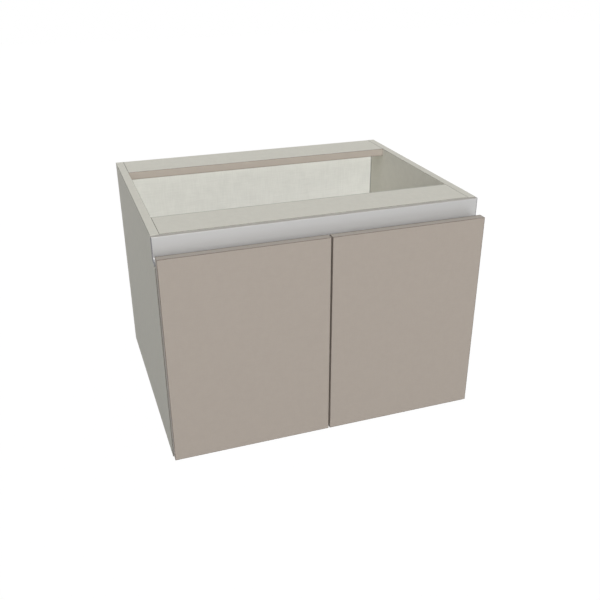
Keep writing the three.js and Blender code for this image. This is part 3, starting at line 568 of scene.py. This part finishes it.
soft_clear = plain_plastic("clear_buffer", CLEAR, roughness=0.25)
for side in SIDES:
    for level in LEVELS:
        node = f"door_buffer_{side}_{level}"
        low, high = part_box(node)
        x, z = (low[0] + high[0]) / 2, (low[2] + high[2]) / 2
        buffer = round_bar(f"{side}_{level}_buffer", (x, low[1], z), (x, high[1], z), BUFFER_RADIUS)
        bpy.ops.object.mode_set(mode="EDIT")
        pick_edges(buffer, lambda at: near(at.y, high[1]))
        round_over((high[1] - low[1]) * BUFFER_DOME, segments=6)
        bpy.ops.object.mode_set(mode="OBJECT")
        buffer.data.materials.append(soft_clear)
        bpy.ops.object.shade_smooth_by_angle(angle=math.radians(50))
        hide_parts(node)
        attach(buffer, f"{side}_door")

# ------------------------------------------------------------------ screws
# Zinc-plated pan heads with a crossed slot, driven through the hinge plates and the channel brackets
# into the sides, and shorter ones that clamp the hinge arms.
Screw = collections.namedtuple("Screw", "head height shank reach")  # two radii, and lengths from the seat
BRACKET_SCREW = Screw(head=0.0035, height=0.0014, shank=0.00175, reach=0.014)
PLATE_SCREW = Screw(head=0.004, height=0.0016, shank=0.0025, reach=0.013)
CLAMP_SCREW = Screw(head=0.0034, height=0.0014, shank=0.0012, reach=0.005)
HEAD_DOME = 0.6  # how much of the head's height is rounded
POINT = 0.3  # the tip's size against the shank's
SLOT_LENGTH = 0.55  # half the slot against the head's radius, long ways and across
SLOT_WIDTH = 0.11
SLOT_FLOOR = 0.4  # the slot's floor and the tool's top against the head's height
SLOT_TOOL_TOP = 1.5
ZINC = (0.45, 0.46, 0.48, 1)
zinc = drawn_metal("zinc_plate", ZINC, roughness=0.32, along="X", line=0.0002)


def cut_away(piece, tool):
    """Takes one piece's shape out of another, and the tool with it."""
    change = piece.modifiers.new("cut", "BOOLEAN")
    change.operation = "DIFFERENCE"
    change.object = tool
    bpy.ops.object.select_all(action="DESELECT")
    piece.select_set(True)
    bpy.context.view_layer.objects.active = piece
    bpy.ops.object.modifier_apply(modifier="cut")
    bpy.data.objects.remove(tool)


def pan_screw(name, size):
    """A screw standing on its seat: a domed head with a crossed slot over a pointed shank."""
    piece = round_bar(name, (0, 0, 0), (0, 0, size.height), size.head)
    bpy.ops.object.mode_set(mode="EDIT")
    pick_faces(piece, DOWN)
    bpy.ops.mesh.inset(thickness=size.head - size.shank)
    pull(0, 0, size.shank - size.reach)
    pull(0, 0, -size.shank)
    bpy.ops.transform.resize(value=(POINT, POINT, 1), center_override=(0, 0, -size.reach))
    pick_edges(piece, lambda at: near(at.z, size.height))
    round_over(size.height * HEAD_DOME, segments=5)
    bpy.ops.object.mode_set(mode="OBJECT")
    long, wide = size.head * SLOT_LENGTH, size.head * SLOT_WIDTH
    floor, top = size.height * SLOT_FLOOR, size.height * SLOT_TOOL_TOP
    for x, y in ((long, wide), (wide, long)):
        cut_away(piece, bar("slot_tool", (-x, -y, floor), (x, y, top)))
    piece.data.materials.append(zinc)
    bpy.ops.object.shade_smooth_by_angle(angle=math.radians(35))
    return piece


def copy_of(model, name, location, turn=(0, 0, 0)):
    """A copy with its own mesh, set down at a place."""
    bpy.ops.object.select_all(action="DESELECT")
    piece = bpy.data.objects.new(name, model.data.copy())
    bpy.context.scene.collection.objects.link(piece)
    piece.location = location
    piece.rotation_euler = turn
    piece.select_set(True)
    bpy.context.view_layer.objects.active = piece
    bpy.ops.object.transform_apply(location=True, rotation=True, scale=True)
    return piece


def seat_under(node, sign, height):
    """The middle of the seat under a screw's head, which points inwards from its side."""
    low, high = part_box(node)
    crown = high[0] if sign < 0 else low[0]
    return crown + sign * height, (low[1] + high[1]) / 2, (low[2] + high[2]) / 2


def facing_in(sign):
    """The turn that points a screw's head away from its side, into the cabinet."""
    return (0, math.radians(-90 * sign), 0)


bracket_screw = pan_screw("bracket_screw", BRACKET_SCREW)
plate_screw = pan_screw("plate_screw", PLATE_SCREW)
clamp_screw = pan_screw("clamp_screw", CLAMP_SCREW)
for side, sign in SIDES.items():
    places = [(bracket_screw, f"channel_bracket_screw_{side}_{number}", BRACKET_SCREW) for number in (1, 2)]
    for level in LEVELS:
        hinge = f"{side}_{level}"
        places += [(plate_screw, f"hinge_plate_screw_{hinge}_{number}", PLATE_SCREW) for number in (1, 2)]
        places.append((clamp_screw, f"hinge_arm_screw_{hinge}", CLAMP_SCREW))
    for model, node, size in places:
        screw = copy_of(model, node + "_finished", seat_under(node, sign, size.height), facing_in(sign))
        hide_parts(node)
        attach(screw, "carcass")
for model in (bracket_screw, plate_screw, clamp_screw):
    bpy.data.objects.remove(model)

# ------------------------------------------------------------------ hinge cups
# Deep-drawn steel cups, nickel plated, let into the doors: a flanged rim, two ears screwed to the
# door's back, and a pair of cheeks inside that carry the riveted pins of both links.
CUP_MIDDLE = 0.0229
CUP_RADIUS = 0.0172
CUP_MOUTH = 0.0164
CUP_RIM = 0.0187
CUP_DEPTH = 0.0117
CUP_SIDES = 64
FLANGE = 0.001
RING_SLACK = 0.00005  # how far a corner may lie off a ring's radius
FLOOR_ROUND = 0.0012
MOUTH_FLOOR_ROUND = 0.0016
RIM_ROUND = 0.0004
EAR_MIDDLE = 0.0289
EAR_HALF = 0.005
EAR_REACH = 0.029
EAR_ROUND = 0.0049
EAR_ARRIS = 0.0003
EAR_SINK = 0.00005  # the ears are this much thinner than the flange on each face
EAR_CLEAR = 0.0006  # from the cup's mouth
EAR_SCREW = Screw(head=0.0036, height=0.0013, shank=0.0018, reach=0.0104)
EAR_SCREWS = 0.024
EAR_SCREW_SEAT = 0.0005
MOUTH_TOOL = 0.01
CHEEK_NEAR, CHEEK_FAR = 0.0024, 0.0036  # from the hinge's middle
CHEEK_FRONT, CHEEK_REAR = 0.0117, 0.0161  # from the door's edge
CHEEK_FOOT = 0.0002  # above the cup's floor
CHEEK_TOP = -0.0003
CHEEK_FRONT_ROUND, CHEEK_REAR_ROUND = 0.0019, 0.0021
SHORT_PIN = (0.0137, -0.0022)  # the inner link turns on one in each cheek
LONG_PIN = (0.0143, -0.0058)  # the outer link turns on one across both cheeks
PIN_RADIUS = 0.001
PIN_SIDES = 24
PIN_START, PIN_END = 0.003, 0.0058
RIVET_RADIUS = 0.0017
RIVET_START, RIVET_END = 0.0054, 0.006
RIVET_ARRIS = 0.0004

# One is made for the left, with the door's back at y = 0 and the door's edge at x = 0
hinge_cup = round_bar("hinge_cup", (CUP_MIDDLE, 0, 0), (CUP_MIDDLE, FLANGE, 0), CUP_RIM, sides=CUP_SIDES)
bpy.ops.object.mode_set(mode="EDIT")
pick_faces(hinge_cup, FRONT)
bpy.ops.mesh.inset(thickness=CUP_RIM - CUP_RADIUS)
pull(0, -CUP_DEPTH, 0)
pick_faces(hinge_cup, REAR)
bpy.ops.mesh.inset(thickness=CUP_RIM - CUP_MOUTH)
pull(0, -CUP_DEPTH, 0)
for radius, y, width in (
    (CUP_RADIUS, -CUP_DEPTH, FLOOR_ROUND),
    (CUP_MOUTH, FLANGE - CUP_DEPTH, MOUTH_FLOOR_ROUND),
    (CUP_RIM, FLANGE, RIM_ROUND),
    (CUP_MOUTH, FLANGE, RIM_ROUND),
):
    pick_edges(
        hinge_cup,
        lambda at: near(at.y, y) and abs(math.hypot(at.x - CUP_MIDDLE, at.z) - radius) < RING_SLACK,
    )
    round_over(width, segments=4)
bpy.ops.object.mode_set(mode="OBJECT")
# Both ears are one strip with round ends, cut away over the cup's mouth
ears = bar(
    "ears",
    (EAR_MIDDLE - EAR_HALF, EAR_SINK, -EAR_REACH),
    (EAR_MIDDLE + EAR_HALF, FLANGE - EAR_SINK, EAR_REACH),
)
bpy.ops.object.mode_set(mode="EDIT")
bpy.ops.mesh.select_mode(type="EDGE")
bpy.ops.mesh.select_all(action="DESELECT")
shape = bmesh.from_edit_mesh(ears.data)
for edge in shape.edges:
    one, other = (corner.co for corner in edge.verts)
    edge.select_set(near(one.x, other.x) and near(one.z, other.z))
bmesh.update_edit_mesh(ears.data)
round_over(EAR_ROUND, segments=10)
pick_edges(ears, lambda at: near(at.y, FLANGE - EAR_SINK))
round_over(EAR_ARRIS, segments=3)
bpy.ops.object.mode_set(mode="OBJECT")
mouth_ends = [(CUP_MIDDLE, y, 0) for y in (-MOUTH_TOOL, MOUTH_TOOL)]
cut_away(ears, round_bar("mouth_tool", *mouth_ends, CUP_MOUTH + EAR_CLEAR, sides=CUP_SIDES))
cup_parts = [ears]
# A cheek above and below the middle, each with its short pin and the pin's riveted head
for way in (-1, 1):
    low_z, high_z = sorted((way * CHEEK_NEAR, way * CHEEK_FAR))
    cheek = bar("cheek", (CHEEK_FRONT, CHEEK_FOOT - CUP_DEPTH, low_z), (CHEEK_REAR, CHEEK_TOP, high_z))
    bpy.ops.object.mode_set(mode="EDIT")
    for x, width in ((CHEEK_FRONT, CHEEK_FRONT_ROUND), (CHEEK_REAR, CHEEK_REAR_ROUND)):
        pick_edges(cheek, lambda at: near(at.y, CHEEK_TOP) and near(at.x, x))
        round_over(width, segments=8)
    bpy.ops.object.mode_set(mode="OBJECT")
    pin_ends = [(*SHORT_PIN, way * z) for z in (PIN_START, PIN_END)]
    pin = round_bar("pin", *pin_ends, PIN_RADIUS, sides=PIN_SIDES)
    rivet_ends = [(*SHORT_PIN, way * z) for z in (RIVET_START, RIVET_END)]
    rivet = round_bar("rivet", *rivet_ends, RIVET_RADIUS, sides=PIN_SIDES)
    bpy.ops.object.mode_set(mode="EDIT")
    pick_edges(rivet, lambda at: near(at.z, way * RIVET_END))
    round_over(RIVET_ARRIS, segments=4)
    bpy.ops.object.mode_set(mode="OBJECT")
    cup_parts += [cheek, pin, rivet]
long_pin_ends = [(*LONG_PIN, z) for z in (-PIN_START, PIN_START)]
cup_parts.append(round_bar("long_pin", *long_pin_ends, PIN_RADIUS, sides=PIN_SIDES))
for part in [hinge_cup] + cup_parts:
    part.data.materials.append(nickel)
ear_screw = pan_screw("ear_screw", EAR_SCREW)
for way in (-1, 1):
    seat = (EAR_MIDDLE, EAR_SCREW_SEAT, way * EAR_SCREWS)
    cup_parts.append(copy_of(ear_screw, "ear_screw", seat, (math.radians(-90), 0, 0)))
bpy.data.objects.remove(ear_screw)
joined(hinge_cup, cup_parts)


def cup_at(node, side):
    """A copy of the left-hand cup at its own door, turned over for the right-hand one."""
    low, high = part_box(node)
    cup = copy_of(hinge_cup, node + "_finished", (-door_edge, door_back, (low[2] + high[2]) / 2))
    if side == "right":
        cup.scale = (-1, 1, 1)
        bpy.ops.object.transform_apply(location=True, rotation=True, scale=True)
        bpy.ops.object.mode_set(mode="EDIT")
        bpy.ops.mesh.select_all(action="SELECT")
        bpy.ops.mesh.normals_make_consistent(inside=False)
        bpy.ops.object.mode_set(mode="OBJECT")
    return cup


for side in SIDES:
    for level in LEVELS:
        node = f"hinge_cup_{side}_{level}"
        cup = cup_at(node, side)
        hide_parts(node)
        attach(cup, f"{side}_door")
bpy.data.objects.remove(hinge_cup)

# ------------------------------------------------------------------ hinge arms, links and plates
# The folded arm slides over a plate screwed to the side and is clamped there by one screw. Two steel
# links, one cranked inside the arm and one straddling it, carry the cup out and round the edge.
HINGE_ARRIS = 0.00025
HINGE_EDGE = 0.0008  # shorter edges belong to round eyes and slots
LINK_STEEL = (0.36, 0.37, 0.385, 1)
ADJUSTER = Screw(head=0.0026, height=0.001, shank=0.0012, reach=0.003)
ADJUSTER_SETBACK = 0.026  # from the door's back
link_steel = drawn_metal("link_steel", LINK_STEEL, roughness=0.35, along="X", line=0.0003)
adjuster = pan_screw("adjuster", ADJUSTER)
for side, sign in SIDES.items():
    for level in LEVELS:
        for piece_name, body, material, slot in (
            ("arm", "carcass", nickel, "nickel_plate"),
            ("plate", "carcass", nickel, "nickel_plate"),
            ("outer_link", f"{side}_outer_links", link_steel, "steel_link"),
            ("inner_link", f"{side}_inner_links", link_steel, "steel_link"),
        ):
            node = f"hinge_{piece_name}_{side}_{level}"
            piece = eased_copy(node, HINGE_ARRIS, (material,), HINGE_EDGE, segments=3)
            bpy.ops.object.shade_smooth_by_angle(angle=math.radians(40))
            if piece_name == "arm":
                # The adjuster stands on the arm's crown, in line with the clamp screw
                crown, _, height = seat_under(f"hinge_arm_screw_{side}_{level}", sign, CLAMP_SCREW.height)
                seat = (crown, door_back + ADJUSTER_SETBACK, height)
                joined(piece, [copy_of(adjuster, "adjuster", seat, facing_in(sign))])
            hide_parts(node)
            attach(piece, body)
bpy.data.objects.remove(adjuster)

# ------------------------------------------------------------------ studio
# A white floor that runs on past the picture and an even pale sky. The soft lamps throw no
# shadows and light the cabinet inside and out; the others are low and broad, and shape it.
WHITE = (1, 1, 1, 1)
FLOOR_REACH = 14
FLOOR_DROP = 0.0002
FLOOR_GREY = (0.12, 0.12, 0.12, 1)  # what the floor throws back on the cabinet
FLOOR_ROUGHNESS = 0.9
FLOOR_GLOW = 1.07
FLOOR_GLOW_SHARE = 0.93  # the rest takes the cabinet's shadow
SKY_LIGHT = 0.11
SKY_SEEN = 1


def seen_or_mirrored(tree):
    """1 where the camera or a gloss looks, and 0 for the light that falls on the cabinet."""
    path = tree.nodes.new("ShaderNodeLightPath")
    seen = tree.nodes.new("ShaderNodeMath")
    seen.operation = "MAXIMUM"
    tree.links.new(path.outputs["Is Camera Ray"], seen.inputs[0])
    tree.links.new(path.outputs["Is Glossy Ray"], seen.inputs[1])
    return seen.outputs[0]


bpy.ops.object.select_all(action="DESELECT")
bpy.ops.mesh.primitive_grid_add(
    x_subdivisions=1, y_subdivisions=1, size=FLOOR_REACH, location=(0, 0, -FLOOR_DROP)
)
floor = bpy.context.object
floor.name = "studio_floor"
paper = bpy.data.materials.new("white_paper")
paper.use_nodes = True
tree = paper.node_tree
shader = tree.nodes["Principled BSDF"]
shader.inputs["Base Color"].default_value = FLOOR_GREY
shader.inputs["Roughness"].default_value = FLOOR_ROUGHNESS
glow = tree.nodes.new("ShaderNodeEmission")
glow.inputs["Color"].default_value = WHITE
glow.inputs["Strength"].default_value = FLOOR_GLOW
share = tree.nodes.new("ShaderNodeMath")
share.operation = "MULTIPLY"
share.inputs[1].default_value = FLOOR_GLOW_SHARE
tree.links.new(seen_or_mirrored(tree), share.inputs[0])
mix = tree.nodes.new("ShaderNodeMixShader")
tree.links.new(share.outputs[0], mix.inputs["Fac"])
tree.links.new(shader.outputs["BSDF"], mix.inputs[1])
tree.links.new(glow.outputs["Emission"], mix.inputs[2])
tree.links.new(mix.outputs["Shader"], tree.nodes["Material Output"].inputs["Surface"])
floor.data.materials.append(paper)

world = bpy.data.worlds.new("studio_sky")
bpy.context.scene.world = world
world.use_nodes = True
tree = world.node_tree
sky = tree.nodes["Background"]
sky.inputs["Color"].default_value = WHITE
strength = tree.nodes.new("ShaderNodeMapRange")
strength.inputs["To Min"].default_value = SKY_LIGHT
strength.inputs["To Max"].default_value = SKY_SEEN
tree.links.new(seen_or_mirrored(tree), strength.inputs["Value"])
tree.links.new(strength.outputs["Result"], sky.inputs["Strength"])

# Each lamp's power, then in degrees its spread, azimuth from the front and elevation, then whether
# it throws shadows and whether it gleams. The last two lamps only lift the far sides.
for name, power, spread_angle, azimuth, elevation, shades, gleams in (
    ("front_key", 0.5, 8, -4, 5, True, True),
    ("front_soft", 2.15, 10, -4, 20.5, False, True),
    ("left_fill", 0.45, 40, -75, 18, True, True),
    ("left_soft", 0.31, 40, -75, 18, False, True),
    ("overhead", 1.04, 60, 0, 88, True, True),
    ("rear_fill", 0.66, 40, 105, 20, True, True),
    ("rear_soft", 0.8, 30, 180, 0, False, False),
    ("right_soft", 0.45, 30, 90, 0, False, False),
):
    lamp = bpy.data.lights.new(name, "SUN")
    lamp.energy = power
    lamp.use_shadow = shades
    lamp.angle = math.radians(spread_angle)
    holder = bpy.data.objects.new(name, lamp)
    bpy.context.scene.collection.objects.link(holder)
    turn, rise = math.radians(azimuth), math.radians(elevation)
    level_reach = math.cos(rise)
    towards = Vector((math.sin(turn) * level_reach, -math.cos(turn) * level_reach, math.sin(rise)))
    holder.rotation_euler = towards.to_track_quat("Z", "Y").to_euler()
    holder.visible_glossy = gleams

# ------------------------------------------------------------------ camera
# The photograph's own view: from the left and above, close enough for the sides to converge.
# Angles are in degrees; the shift moves the picture by a share of its width.
LENS, SENSOR = 44.51, 36
SHIFT_X, SHIFT_Y = -0.0093, 0.0053
CAMERA_PLACE = (-0.5122, -1.5702, 0.9963)
LOOK_DOWN = 26.23
LOOK_RIGHT = 19.60
lens = bpy.data.cameras.new("camera")
lens.lens = LENS
lens.sensor_width = SENSOR
lens.shift_x = SHIFT_X
lens.shift_y = SHIFT_Y
camera = bpy.data.objects.new("camera", lens)
bpy.context.scene.collection.objects.link(camera)
camera.location = CAMERA_PLACE
camera.rotation_euler = (math.radians(90 - LOOK_DOWN), 0, math.radians(-LOOK_RIGHT))
bpy.context.scene.camera = camera
bpy.context.scene.view_settings.view_transform = "Standard"
